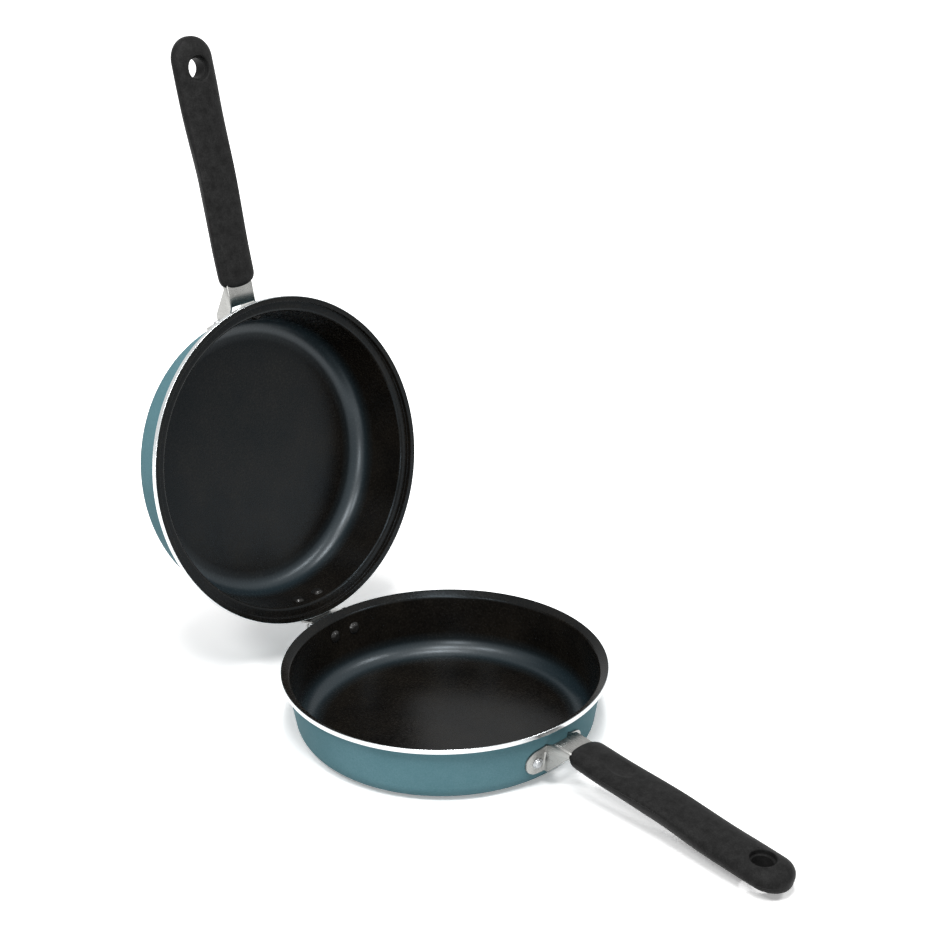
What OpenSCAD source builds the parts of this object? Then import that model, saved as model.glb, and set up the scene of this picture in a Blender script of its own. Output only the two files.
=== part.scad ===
// Double sided flip pan: two frying pans of pressed aluminium, joined rim to rim by a riveted
// hinge, each with its own moulded grip on a stamped bracket opposite the hinge.
// Origin at the centre of the lower pan's base, +X from the hinge to the handles, +Z up.

/* [Pans] */
// Outer radius of the lower pan's turned rim edge
rim_r = 122; // [110:0.5:135]
// Depth of each pan, from its rim plane to the underside of its base
pan_depth = 51; // [48:0.5:62]
// How far the lower rim edge stands out past the wall
rim_overhang = 4.2; // [3:0.1:6]
// Draft of the wall, in degrees from the vertical
wall_draft = 9.8; // [7:0.1:12]
// Thickness of the pressed sheet
sheet_t = 2.6; // [2:0.1:3.4]
// Outer radius of the bend from base to wall
corner_r = 16; // [10:0.5:17]
// Height of the bare turned edge round each rim
edge_h = 3.8; // [3:0.1:5]
// Rise of the lower pan's flared lip from the wall to its edge
lip_rise = 2.5; // [1.5:0.1:3.5]
// Width of the upper pan's lip, outside the lower rim
upper_lip_w = 4.2; // [3:0.1:6]
// Radial room between the closed lower rim and the upper pan's lip
nest_clear = 0.6; // [0.4:0.1:1]
// Gap between the closed lower rim and the upper pan's ledge
nest_gap = 0.3; // [0.3:0.05:0.6]
// Number of turned rings in each base
ring_count = 6; // [3:1:8]

/* [Hinge] */
// How far the upper pan stands open at its stop, in degrees
open_angle = 103.1; // [95:0.1:110]
// Depth of the hinge axis below the lower rim plane
hinge_drop = 11.5; // [10.5:0.1:13]
// Radius of the hinge pin
pin_r = 1.75; // [1.5:0.05:2.2]
// Thickness of the hinge leaves
leaf_t = 1.5; // [1.2:0.1:1.8]
// Half width of the upper leaf
leaf_half_w = 15.6; // [14:0.1:20]
// Depth of the lower hinge rivets below the rim plane
lower_hinge_rivet_drop = 16; // [15:0.5:19]
// Depth of the upper hinge rivets below the rim plane
upper_hinge_rivet_drop = 14.5; // [14.5:0.5:18]
// Distance of each hinge rivet from the middle plane
hinge_rivet_y = 10; // [8:0.1:11]

/* [Handle brackets] */
// Depth of the lower bracket's web below the lower rim plane
lower_drop = 11; // [10:0.5:13]
// Depth of the upper bracket's web below the upper rim plane
upper_drop = 20; // [14:0.5:21]
// Slope of the lower handle away from the rim plane, in degrees
lower_tilt = 6; // [0:0.5:8]
// Slope of the upper handle away from the rim plane, in degrees
upper_tilt = -0.5; // [-1:0.5:8]
// Height of the lower bracket's rivets above the underside of the base
lower_ear_rise = 22.5; // [19:0.5:26]
// Height of the upper bracket's rivets above the underside of the base
upper_ear_rise = 18; // [17:0.5:24]
// Thickness of the stamped bracket
bracket_t = 1.6; // [1.2:0.1:2]
// Half width of the bracket's web, over its two folded sides
web_half_w = 12.5; // [11:0.1:13]
// Radial gap between the rim edge of the lower pan and the web's near edge
web_gap = 2; // [1:0.5:5]
// Radius of the ears riveted to the wall
ear_r = 9.6; // [8.5:0.1:10]
// Distance of each ear's round end and rivet from the bracket's folded side
ear_reach = 5.5; // [5.3:0.1:7]

/* [Grips] */
// Half width of the grip
grip_half_w = 17.3; // [16:0.1:19]
// Distance from the web's near edge to the grip's nose
grip_start = 13; // [12:0.2:15]
// Distance from the web's near edge to the grip's far end
grip_end = 205; // [195:1:225]
// Height of the grip's rim side face over the web
grip_face_h = 3; // [2.5:0.1:4]
// Distance from the grip's far end to the centre of its hanging hole
hang_from_end = 24; // [21:0.5:30]
// Radius of the hanging hole
hang_r = 7.5; // [6:0.1:8]
// Radius of the counterbores on both sides of the hanging hole
hang_bore_r = 9.2; // [8.4:0.1:9.6]

/* [Fasteners] */
// Radius of the rivet shanks
rivet_r = 2.4; // [2:0.1:2.8]
// Radius of the bracket rivets' outer heads
bracket_head_r = 4.3; // [4:0.1:4.6]
// Radius of the domed rivet heads inside the pans
inner_head_r = 4.75; // [4.2:0.05:5.2]
// Radius of the grip screw
screw_r = 2; // [1.6:0.1:2.5]

/* [Hidden] */

enamel = [0.37, 0.51, 0.545];
steel = [0.78, 0.77, 0.75];
phenolic = [0.2, 0.2, 0.2];
coated_black = [0.1, 0.1, 0.1];

// Wall line: its outer radius is known a little below the rim plane
wall_ref_z = -5;
wall_ref_r = rim_r - rim_overhang;
inner_shift = sheet_t / cos(wall_draft);
lip_slope = lip_rise / (rim_overhang + 0.2);
lip_fillet = 2.5;
edge_round = 0.4;
upper_rim_r = rim_r + nest_clear + upper_lip_w;
ledge_depth = edge_h;
nest_depth = ledge_depth - nest_gap;
under_lip_z = -(edge_h + 4.2);
floor_r = outer_wall_r(-pan_depth) - corner_r;

// Clearances: between sheets that lie on each other, for shanks, and between moving parts
seat_gap = 0.1;
shank_clear = 0.05;
pin_clear = 0.05;
move_clear = 0.4;

// Hinge
knuckle_r = pin_r + pin_clear + leaf_t;
strap_clear = 0.5;
hinge_r = upper_rim_r + strap_clear + knuckle_r;
cheek_y = leaf_half_w + move_clear;
cheek_r = knuckle_r + 1.3;
cheek_foot_z = -(lower_hinge_rivet_drop + 7.5);
stop_gap = 0.3;
stop_near = knuckle_r + 0.9;
stop_far = stop_near + 3;
stop_tab_w = 5;
flange_z = under_lip_z - 0.6;
axis_over_upper_rim = hinge_drop - nest_depth;

// Brackets, in the handle's frame: web face at z = 0, near edge at x = 0
web_x = rim_r + web_gap;
ear_y = web_half_w + ear_reach;
leg_over_ear_foot = 1.5;
leg_inside = 16;
bend_r = 2.3;
tang_half_w = 7;
tang_step = 3.5;
tang_len = 56;
tang_end = grip_start + tang_len;
leg_end = grip_start + 5.5;
leg_root_h = 5.5;
screw_from_nose = 38;
screw_x = grip_start + screw_from_nose;

// Grip
hang_x = grip_end - hang_from_end;
nose_len = 11;
thumb_x = 52;
thumb_depth = 1.4;
thumb_half_w = 7.5;
thumb_to_nose = 18;
thumb_to_end = 13;
crease_step = 0.9;
socket_clear = 0.25;
hang_ring_top = grip_face_h - 4.5;
hang_ring_h = 10;
through_cut = 60;
nose_power = 2.6;
screw_seat_z = -9;

// ---------------------------------------------------------------- outlines and revolves

function outer_wall_r(z) = wall_ref_r + (z - wall_ref_z) * tan(wall_draft);
function inner_wall_r(z) = outer_wall_r(z) - inner_shift;
function unit(v) = v / norm(v);
function ear_z(rise) = rise - pan_depth;
function turn(a) = ((a % 360) + 540) % 360 - 180;

// Arc of radius q.z that rounds the corner q between its neighbours p and s
function rounded(p, q, s) =
    let (a = unit([p.x - q.x, p.y - q.y]),
         b = unit([s.x - q.x, s.y - q.y]),
         half = acos(a * b) / 2,
         reach = q.z / tan(half),
         c = [q.x, q.y] + unit(a + b) * q.z / sin(half),
         from = [q.x, q.y] + a * reach - c,
         to = [q.x, q.y] + b * reach - c,
         a0 = atan2(from.y, from.x),
         sweep = turn(atan2(to.y, to.x) - a0),
         steps = max(3, ceil(abs(sweep) / 8)))
    [for (i = [0:steps]) c + q.z * [cos(a0 + sweep * i / steps), sin(a0 + sweep * i / steps)]];

// Outline from corners given as [x, y, rounding radius]
function outline(k) =
    [for (i = [0:len(k) - 1])
        each (k[i].z == 0 ? [[k[i].x, k[i].y]]
            : rounded(k[(i + len(k) - 1) % len(k)], k[i], k[(i + 1) % len(k)]))];

// Side view outline, drawn in X and Z and given a thickness along Y
module side_plate(y0, y1) translate([0, y1, 0]) rotate([90, 0, 0]) linear_extrude(y1 - y0) children();

// Front view outline, drawn in Y and Z and run along X
module front_run(x0, x1) translate([x0, 0, 0]) rotate([90, 0, 90]) linear_extrude(x1 - x0) children();

// Solid cone inside the wall's outer face, grown outwards by a gap
module wall_cone(gap) {
    grown = gap / cos(wall_draft);
    translate([0, 0, -pan_depth]) cylinder(h = pan_depth, r1 = outer_wall_r(-pan_depth) + grown,
        r2 = outer_wall_r(0) + grown, $fn = 180);
}

// Sheet that lies on the wall
module wall_sheet(t) difference() {
    wall_cone(seat_gap + t);
    wall_cone(seat_gap);
}

// Stands children on the wall's outer face, with their Z axis square to it
module on_wall(y, z) {
    turn_z = asin(y / outer_wall_r(z));
    rotate([0, 0, turn_z]) translate([outer_wall_r(z), 0, z]) rotate([0, 90 + wall_draft, 0]) children();
}

// ---------------------------------------------------------------- frames of the two pans

// Pan frame: z = 0 in the rim plane, the pan below it, handle towards +X
module place_lower() translate([0, 0, pan_depth]) children();

module place_upper()
    translate([-hinge_r, 0, pan_depth - hinge_drop]) rotate([0, -open_angle, 0])
    translate([hinge_r, 0, hinge_drop - nest_depth]) mirror([0, 0, 1]) children();

module hinge_side() rotate([0, 0, 180]) children();

module handle_frame(drop, tilt) translate([web_x, 0, -drop]) rotate([0, tilt, 0]) children();

// ---------------------------------------------------------------- pans

module base_rings() for (i = [1:ring_count]) {
    ring_r = floor_r * i / (ring_count + 0.5);
    translate([0, 0, -pan_depth - 1]) difference() {
        cylinder(h = 1.4, r = ring_r + 0.6, $fn = 120);
        translate([0, 0, -1]) cylinder(h = 4, r = ring_r - 0.6, $fn = 120);
    }
}

module rivet_holes(hinge_rivet_drop, ear_rise) {
    for (side = [-1, 1]) {
        hinge_side() on_wall(side * hinge_rivet_y, -hinge_rivet_drop) shank_hole();
        on_wall(side * ear_y, ear_z(ear_rise)) shank_hole();
    }
}

module shank_hole() translate([0, 0, -2 * sheet_t])
    cylinder(h = 4 * sheet_t, r = rivet_r + shank_clear, $fn = 32);

module pan_body(rim_corners, hinge_rivet_drop, ear_rise) {
    inner_floor_z = sheet_t - pan_depth;
    difference() {
        rotate_extrude($fn = 180) polygon(outline(concat(
            [[0, -pan_depth, 0], [outer_wall_r(-pan_depth), -pan_depth, corner_r]],
            rim_corners,
            [[inner_wall_r(inner_floor_z), inner_floor_z, corner_r - sheet_t], [0, inner_floor_z, 0]])));
        base_rings();
        rivet_holes(hinge_rivet_drop, ear_rise);
    }
}

// Flared lip whose top face rises to the turned edge
module lower_pan() color(enamel) {
    meet_r = (inner_wall_r(0) - rim_r * lip_slope * tan(wall_draft)) / (1 - lip_slope * tan(wall_draft));
    pan_body([
        [outer_wall_r(-edge_h - 0.6), -edge_h - 0.6, 1.2],
        [rim_r, -edge_h, edge_round],
        [rim_r, 0, edge_round],
        [meet_r, -(rim_r - meet_r) * lip_slope, lip_fillet]],
        lower_hinge_rivet_drop, lower_ear_rise);
}

// Stepped rim: a flat lip, then a ledge that the lower rim closes against
module upper_pan() color(enamel)
    pan_body([
        [outer_wall_r(under_lip_z), under_lip_z, 2],
        [upper_rim_r - 2.4, -edge_h - sheet_t, 1.5],
        [upper_rim_r - 1.9, -edge_h - 0.3, 0.5],
        [upper_rim_r, -edge_h - 0.2, edge_round],
        [upper_rim_r, 0, edge_round],
        [upper_rim_r - upper_lip_w, 0, edge_round],
        [upper_rim_r - upper_lip_w, -ledge_depth, edge_round],
        [inner_wall_r(-ledge_depth), -ledge_depth, lip_fillet]],
        upper_hinge_rivet_drop, upper_ear_rise);

// ---------------------------------------------------------------- rivets

// Rivet with a domed head inside the pan and a formed head outside, z = 0 at the wall's outer face
module rivet(stack_t, outer_profile) {
    inner_z = -sheet_t - 0.12;
    dome_h = 2.3;
    rotate_extrude($fn = 48) polygon(outline(concat(
        [[0, inner_z - dome_h, 0], [inner_head_r * 0.55, inner_z - dome_h, 3],
         [inner_head_r, inner_z - 0.5, 0.4], [inner_head_r, inner_z, 0], [rivet_r, inner_z, 0]],
        [for (p = outer_profile) [p.x, p.y + stack_t, p.z]])));
}

// Wide flat head with a raised centre
bracket_rivet_head = [[rivet_r, 0, 0], [bracket_head_r, 0, 0], [bracket_head_r - 0.3, 0.8, 0.3],
    [bracket_head_r - 1, 0.6, 0.25], [bracket_head_r - 1.6, 2, 0.7], [0, 2.2, 0]];

// Low clinched head
hinge_rivet_head = [[rivet_r, 0, 0], [rivet_r + 1.4, 0, 0], [rivet_r + 1.1, 1.1, 0.4], [0, 1.3, 0]];

module bracket_rivet(side, ear_rise)
    on_wall(side * ear_y, ear_z(ear_rise)) rivet(seat_gap + bracket_t + 0.05, bracket_rivet_head);

module hinge_rivet(side, drop)
    hinge_side() on_wall(side * hinge_rivet_y, -drop) rivet(seat_gap + leaf_t + 0.05, hinge_rivet_head);

// ---------------------------------------------------------------- handle brackets

// Folded channel section, drawn in Y and Z
module channel_section() {
    run = 2 * pan_depth;
    inner_w = web_half_w - bracket_t;
    inner_bend = bend_r - bracket_t;
    difference() {
        polygon(outline([[-web_half_w, 0, bend_r], [web_half_w, 0, bend_r],
            [web_half_w, -run, 0], [-web_half_w, -run, 0]]));
        polygon(outline([[-inner_w, -bracket_t, inner_bend], [inner_w, -bracket_t, inner_bend],
            [inner_w, -run - 1, 0], [-inner_w, -run - 1, 0]]));
    }
}

// Side view of the bracket in the pan's frame: shallow at the grip, deep at the wall
module bracket_side(drop, tilt, ear_rise) {
    in_x = web_x - leg_inside;
    step_x = web_x - 6;
    foot_z = ear_z(ear_rise) - ear_r + leg_over_ear_foot;
    polygon(outline([
        [in_x, -drop - 4, 0], [step_x, -drop - 4, 1.5], [web_x + 0.4, -drop - 0.3, 0.8],
        [web_x + 0.4, 0, 0], [web_x + leg_end, 0, 0],
        [web_x + leg_end, -drop - leg_root_h - leg_end * sin(tilt), 0],
        [web_x + grip_start + 1, -drop - leg_root_h - (grip_start + 1) * sin(tilt), 3],
        [step_x + 0.3, foot_z, 3], [in_x, foot_z, 0]]));
}

// Ear outline in Y and Z, round at its end and sloping up to the folded side
module ear_front(drop, ear_rise) {
    mid_z = ear_z(ear_rise);
    tip_y = ear_y + ear_r;
    root_y = web_half_w - bracket_t / 2;
    round_r = ear_r - 0.1;
    polygon(outline([
        [root_y, mid_z - ear_r, 0], [tip_y, mid_z - ear_r, round_r], [tip_y, mid_z + ear_r, round_r],
        [root_y, max(mid_z + ear_r, -drop - 4.5), 0]]));
}

// Concave bend between an ear and its folded side, as five flats
module ear_bend(ear_rise) {
    mid_z = ear_z(ear_rise);
    face_r = outer_wall_r(mid_z) + (seat_gap + bracket_t) / cos(wall_draft);
    foot_x = sqrt(pow(face_r, 2) - pow(web_half_w + 0.5, 2));
    translate([foot_x, web_half_w, mid_z]) rotate([0, wall_draft, 0])
        linear_extrude(2 * ear_r - 3, center = true)
            polygon([[-0.9, -0.5], [1.25, -0.5], [1.1, 0.05], [0.5, 0.22], [0.22, 0.5], [0.05, 1],
                [-0.6, 1.15]]);
}

// Strip that steps down inside the grip and carries the screw
module tang() difference() {
    side_plate(-tang_half_w, tang_half_w) polygon(outline([
        [leg_end - 4, 0, 0], [leg_end - 2, 0, 1.2], [leg_end + 2, -tang_step, 1.2],
        [tang_end, -tang_step, 0], [tang_end, -tang_step - bracket_t, 0],
        [leg_end + 1.4, -tang_step - bracket_t, 1], [leg_end - 2.6, -bracket_t, 1],
        [leg_end - 4, -bracket_t, 0]]));
    translate([screw_x, 0, -tang_step - 2 * bracket_t])
        cylinder(h = 3 * bracket_t, r = screw_r + shank_clear, $fn = 32);
}

module handle_bracket(drop, tilt, ear_rise) color(steel) difference() {
    union() {
        intersection() {
            handle_frame(drop, tilt) difference() {
                front_run(-leg_inside, leg_end) channel_section();
                translate([-leg_inside - 1, -web_half_w + bracket_t, -bend_r - 0.2])
                    cube([leg_inside + 1, 2 * (web_half_w - bracket_t), bend_r + 1]);
            }
            side_plate(-2 * web_half_w, 2 * web_half_w) bracket_side(drop, tilt, ear_rise);
        }
        handle_frame(drop, tilt) tang();
        intersection() {
            wall_sheet(bracket_t);
            front_run(wall_ref_r / 2, rim_r) union() {
                ear_front(drop, ear_rise);
                mirror([1, 0]) ear_front(drop, ear_rise);
            }
        }
        ear_bend(ear_rise);
        mirror([0, 1, 0]) ear_bend(ear_rise);
    }
    wall_cone(seat_gap);
    for (side = [-1, 1]) on_wall(side * ear_y, ear_z(ear_rise)) shank_hole();
}

// ---------------------------------------------------------------- grips

// Smooth step between the values of the nearest two keys [x, value]
function ease(t) = t * t * (3 - 2 * t);
function blend(x, keys) =
    x <= keys[0][0] ? keys[0][1]
    : x >= keys[len(keys) - 1][0] ? keys[len(keys) - 1][1]
    : let (i = max([for (j = [0:len(keys) - 2]) if (keys[j][0] <= x) j]),
           t = (x - keys[i][0]) / (keys[i + 1][0] - keys[i][0]))
      keys[i][1] + (keys[i + 1][1] - keys[i][1]) * ease(t);

// Heights along the grip at shares of its length, over and under the web's face
function grip_key(share, z) = [grip_start + (grip_end - grip_start) * share, z];
face_keys = [grip_key(0, grip_face_h - 0.6), grip_key(0.12, grip_face_h),
    grip_key(0.92, grip_face_h), grip_key(1, grip_face_h - 1.5)];
crease_keys = [grip_key(0, -2), grip_key(0.15, -2.6), grip_key(0.43, -0.8),
    grip_key(0.75, -5.4), grip_key(1, -6)];
belly_keys = [grip_key(0, -13.5), grip_key(0.2, -15), grip_key(0.42, -16.3),
    grip_key(0.6, -17.4), grip_key(0.8, -16.4), grip_key(1, -15)];
girth_keys = [grip_key(0, 0.94), grip_key(0.42, 0.94), grip_key(0.84, 1.03), grip_key(1, 1.03)];
grip_mid_z = -6;

// Share of the full size near a rounded end, s running from 0 at the tip to 1
function round_end(s, p) = s >= 1 ? 1 : pow(1 - pow(1 - max(s, 0), p), 1 / p);
function plan_share(x) =
    round_end((x - grip_start) / nose_len, nose_power) * round_end((grip_end - x) / grip_half_w, 2);
function height_share(x) =
    round_end((x - grip_start) / nose_len, 4) * round_end((grip_end - x) / grip_half_w, 3.2);

// Thumb recess: it fades towards the pan and ends in a steeper round step
function thumb_dip(x, y) =
    let (run = (x - thumb_x) / (x < thumb_x ? thumb_to_nose : thumb_to_end), across = y / thumb_half_w)
    thumb_depth * pow(max(0, 1 - run * run - across * across), 0.5 + 0.6 * max(0, -run));

function signed_pow(v, p) = sign(v) * pow(abs(v), p);

// One closed ring of the grip: crowned face, crease step, full underside
function grip_ring(x, top_n, belly_n) =
    let (w = grip_half_w * blend(x, girth_keys) * plan_share(x),
         h = height_share(x),
         face = grip_mid_z + (blend(x, face_keys) - grip_mid_z) * h,
         crease = grip_mid_z + (blend(x, crease_keys) - grip_mid_z) * h,
         belly = grip_mid_z + (blend(x, belly_keys) - grip_mid_z) * h,
         step = crease_step * plan_share(x))
    concat(
        [for (i = [0:top_n])
            let (a = 180 * i / top_n, y = w * signed_pow(cos(a), 0.9))
            [x, y, crease + (face - crease) * pow(max(0, sin(a)), 0.85) - thumb_dip(x, y)]],
        [for (i = [0:belly_n])
            let (a = 180 + 180 * i / belly_n)
            [x, (w - step) * cos(a), crease - step + (crease - step - belly) * sin(a)]]);

// Stations along the grip: close together at both ends and over the thumb recess
nose_end = grip_start + nose_len;
recess_end = nose_end + 42;
round_start = grip_end - grip_half_w;
grip_stations = concat(
    [for (s = [0.02, 0.06, 0.14, 0.27, 0.45, 0.7, 1]) grip_start + nose_len * s],
    [for (s = [0.1:0.1:1]) nose_end + (recess_end - nose_end) * s],
    [for (s = [1:16]) recess_end + (round_start - recess_end) * s / 16],
    [for (s = [0.72, 0.5, 0.32, 0.18, 0.09, 0.03, 0.005]) grip_end - grip_half_w * s]);

module grip_loft() {
    top_n = 16;
    belly_n = 12;
    n = top_n + belly_n + 2;
    m = len(grip_stations);
    polyhedron(
        points = [for (x = grip_stations) each grip_ring(x, top_n, belly_n)],
        faces = concat(
            [[for (j = [0:n - 1]) j]],
            [for (i = [0:m - 2]) for (j = [0:n - 1]) let (k = (j + 1) % n)
                each [[i * n + j, (i + 1) * n + j, (i + 1) * n + k],
                    [i * n + j, (i + 1) * n + k, i * n + k]]],
            [[for (j = [n - 1:-1:0]) (m - 1) * n + j]]),
        convexity = 4);
}

// Slot for the tang, from x0 to x1, with its floor under the tang
module tang_slot(x0, x1, h)
    translate([x0, -tang_half_w - socket_clear, -tang_step - bracket_t - socket_clear])
        cube([x1 + socket_clear - x0, 2 * (tang_half_w + socket_clear), h + 2 * socket_clear]);

module handle_grip(drop, tilt) color(phenolic) handle_frame(drop, tilt) difference() {
    grip_loft();
    // Socket for the channel, then the slot for the tang
    translate([0, -web_half_w - socket_clear, -leg_root_h - socket_clear])
        cube([leg_end + socket_clear, 2 * (web_half_w + socket_clear), leg_root_h + 2 * socket_clear]);
    tang_slot(leg_end - 4, tang_end, bracket_t);
    tang_slot(leg_end - 4, leg_end + 2.6, bracket_t + tang_step);
    // Screw hole, blind over the tang, and the recess for its head
    translate([screw_x, 0, screw_seat_z - through_cut])
        cylinder(h = through_cut, r = 2 * screw_r + 0.5, $fn = 48);
    translate([screw_x, 0, -1 - through_cut]) cylinder(h = through_cut, r = screw_r + 0.2, $fn = 32);
    // Hanging hole with a counterbore on each side
    translate([hang_x, 0, -through_cut / 2]) cylinder(h = through_cut, r = hang_r, $fn = 64);
    translate([hang_x, 0, hang_ring_top]) cylinder(h = through_cut, r = hang_bore_r, $fn = 64);
    translate([hang_x, 0, hang_ring_top - hang_ring_h - through_cut])
        cylinder(h = through_cut, r = hang_bore_r, $fn = 64);
}

// Slotted pan head screw, driven from the grip's underside into the tang
module handle_screw(drop, tilt) color(steel) handle_frame(drop, tilt)
    translate([screw_x, 0, screw_seat_z - 0.1]) {
    head_h = 2.4;
    tip_z = -screw_seat_z - 1.4;
    difference() {
        rotate_extrude($fn = 48) polygon(outline([
            [0, -head_h, 0], [2 * screw_r, -head_h, 1.2], [2 * screw_r, 0, 0], [screw_r, 0, 0],
            [screw_r, tip_z, 0.4], [0, tip_z, 0]]));
        translate([-3 * screw_r, -0.5, -head_h - 1]) cube([6 * screw_r, 1, 2.1]);
    }
}

// ---------------------------------------------------------------- hinge

// Leaf of the lower pan: wall plate, two cheeks that carry the pin, and stop tabs
module lower_hinge_leaf() color(steel) {
    half_w = cheek_y + leaf_t;
    axis = [hinge_r, -hinge_drop];
    difference() {
        union() {
            intersection() {
                wall_sheet(leaf_t);
                front_run(wall_ref_r / 2, rim_r) polygon(outline([
                    [-half_w, -hinge_drop + cheek_r, 0], [half_w, -hinge_drop + cheek_r, 0],
                    [half_w, cheek_foot_z, 4], [-half_w, cheek_foot_z, 4]]));
            }
            for (side = [0, 1]) mirror([0, side, 0]) {
                side_plate(cheek_y, half_w) cheek_side(axis);
                side_plate(cheek_y - stop_tab_w, cheek_y + 0.1) stop_tab(axis);
            }
        }
        wall_cone(seat_gap);
        translate([axis.x, 0, axis.y]) rotate([90, 0, 0])
            cylinder(h = 4 * half_w, r = pin_r + pin_clear, center = true, $fn = 48);
        for (side = [-1, 1]) on_wall(side * hinge_rivet_y, -lower_hinge_rivet_drop) shank_hole();
    }
}

module cheek_side(axis) {
    root_x = wall_ref_r / 2 + rim_r / 2 - 8;
    translate(axis) circle(r = cheek_r, $fn = 64);
    polygon(outline([
        [root_x, axis.y + cheek_r, 0], [axis.x, axis.y + cheek_r, 0], [axis.x, axis.y - cheek_r, 0],
        [axis.x - cheek_r - 2, axis.y - cheek_r, 3], [wall_ref_r - 1.5, cheek_foot_z + 3, 2],
        [root_x, cheek_foot_z + 3, 0]]));
    stop_frame(axis) polygon(outline([
        [-(knuckle_r - leaf_t) + stop_gap, 0, 0], [cheek_r - 1, 0, 0], [cheek_r - 1, stop_far - 2, 1.5],
        [leaf_t + 0.6, stop_far, 1], [-(knuckle_r - leaf_t) + stop_gap, stop_far, 0.3]]));
}

// Frame of the opened upper leaf's strap: y runs along the strap away from the pin
module stop_frame(axis) translate(axis) rotate(-open_angle) children();

module stop_tab(axis) stop_frame(axis)
    translate([-(knuckle_r - leaf_t) + stop_gap, stop_near]) square([leaf_t, stop_far - stop_near]);

// Leaf of the upper pan: wall plate, flange under the lip, strap past the lip, rolled knuckle
module upper_hinge_leaf() color(steel) {
    axis = [hinge_r, axis_over_upper_rim];
    strap_in = hinge_r - knuckle_r;
    plate_foot_z = -(upper_hinge_rivet_drop + 7.5);
    root_x = wall_ref_r / 2 + rim_r / 2 - 8;
    difference() {
        union() {
            intersection() {
                wall_sheet(leaf_t);
                front_run(wall_ref_r / 2, rim_r) polygon(outline([
                    [-leaf_half_w, flange_z, 0], [leaf_half_w, flange_z, 0],
                    [leaf_half_w, plate_foot_z, 4], [-leaf_half_w, plate_foot_z, 4]]));
            }
            side_plate(-leaf_half_w, leaf_half_w) {
                polygon(outline([
                    [strap_in, axis.y, 0], [strap_in, flange_z, 1], [root_x, flange_z, 0],
                    [root_x, flange_z - leaf_t, 0],
                    [strap_in + leaf_t, flange_z - leaf_t, 2.5], [strap_in + leaf_t, axis.y, 0]]));
                translate(axis) circle(r = knuckle_r, $fn = 64);
            }
        }
        wall_cone(seat_gap);
        translate([axis.x, 0, axis.y]) rotate([90, 0, 0])
            cylinder(h = 4 * leaf_half_w, r = pin_r + pin_clear, center = true, $fn = 48);
        for (side = [-1, 1]) on_wall(side * hinge_rivet_y, -upper_hinge_rivet_drop) shank_hole();
    }
}

// Pin with a formed head at one end, peened over a washer at the other
washer_t = 0.8;
pin_head_h = 1.5;
module on_axis() translate([-hinge_r, 0, pan_depth - hinge_drop]) rotate([90, 0, 0]) children();

module hinge_pin() color(steel) on_axis() {
    reach = cheek_y + leaf_t;
    peen_z = reach + 0.1 + washer_t + 0.05;
    rotate_extrude($fn = 48) polygon(outline([
        [0, -reach - 0.1 - pin_head_h, 0], [pin_r, -reach - 0.1 - pin_head_h, 1],
        [pin_r + 1.4, -reach - 0.5, 0.3], [pin_r + 1.4, -reach - 0.1, 0], [pin_r, -reach - 0.1, 0],
        [pin_r, peen_z, 0], [pin_r + 0.9, peen_z, 0], [pin_r + 0.4, peen_z + 1, 0.4],
        [0, peen_z + 1.1, 0]]));
}

module hinge_pin_washer() color(steel) on_axis() translate([0, 0, cheek_y + leaf_t + 0.1]) difference() {
    cylinder(h = washer_t, r = pin_r + 2, $fn = 48);
    translate([0, 0, -1]) cylinder(h = washer_t + 2, r = pin_r + pin_clear, $fn = 48);
}

// ---------------------------------------------------------------- assembly

place_lower() lower_pan();
place_lower() handle_bracket(lower_drop, lower_tilt, lower_ear_rise);  // lower_handle_bracket
place_lower() color(steel) bracket_rivet(1, lower_ear_rise);  // lower_bracket_rivet_left
place_lower() color(steel) bracket_rivet(-1, lower_ear_rise);  // lower_bracket_rivet_right
place_lower() handle_grip(lower_drop, lower_tilt);  // lower_handle_grip
place_lower() handle_screw(lower_drop, lower_tilt);  // lower_handle_screw
place_lower() hinge_side() lower_hinge_leaf();
place_lower() color(coated_black) hinge_rivet(1, lower_hinge_rivet_drop);  // lower_hinge_rivet_left
place_lower() color(coated_black) hinge_rivet(-1, lower_hinge_rivet_drop);  // lower_hinge_rivet_right
hinge_pin();
hinge_pin_washer();

place_upper() upper_pan();
place_upper() handle_bracket(upper_drop, upper_tilt, upper_ear_rise);  // upper_handle_bracket
place_upper() color(steel) bracket_rivet(1, upper_ear_rise);  // upper_bracket_rivet_left
place_upper() color(steel) bracket_rivet(-1, upper_ear_rise);  // upper_bracket_rivet_right
place_upper() handle_grip(upper_drop, upper_tilt);  // upper_handle_grip
place_upper() handle_screw(upper_drop, upper_tilt);  // upper_handle_screw
place_upper() hinge_side() upper_hinge_leaf();
place_upper() color(coated_black) hinge_rivet(1, upper_hinge_rivet_drop);  // upper_hinge_rivet_left
place_upper() color(coated_black) hinge_rivet(-1, upper_hinge_rivet_drop);  // upper_hinge_rivet_right
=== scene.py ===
"""Looks of the double sided flip pan: drawn pans, stamped brackets, moulded grips and a riveted hinge."""
import logging
import math
from dataclasses import dataclass
from enum import Enum
from typing import Iterable, Sequence

import bmesh
import bpy
from mathutils import Matrix, Vector


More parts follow.
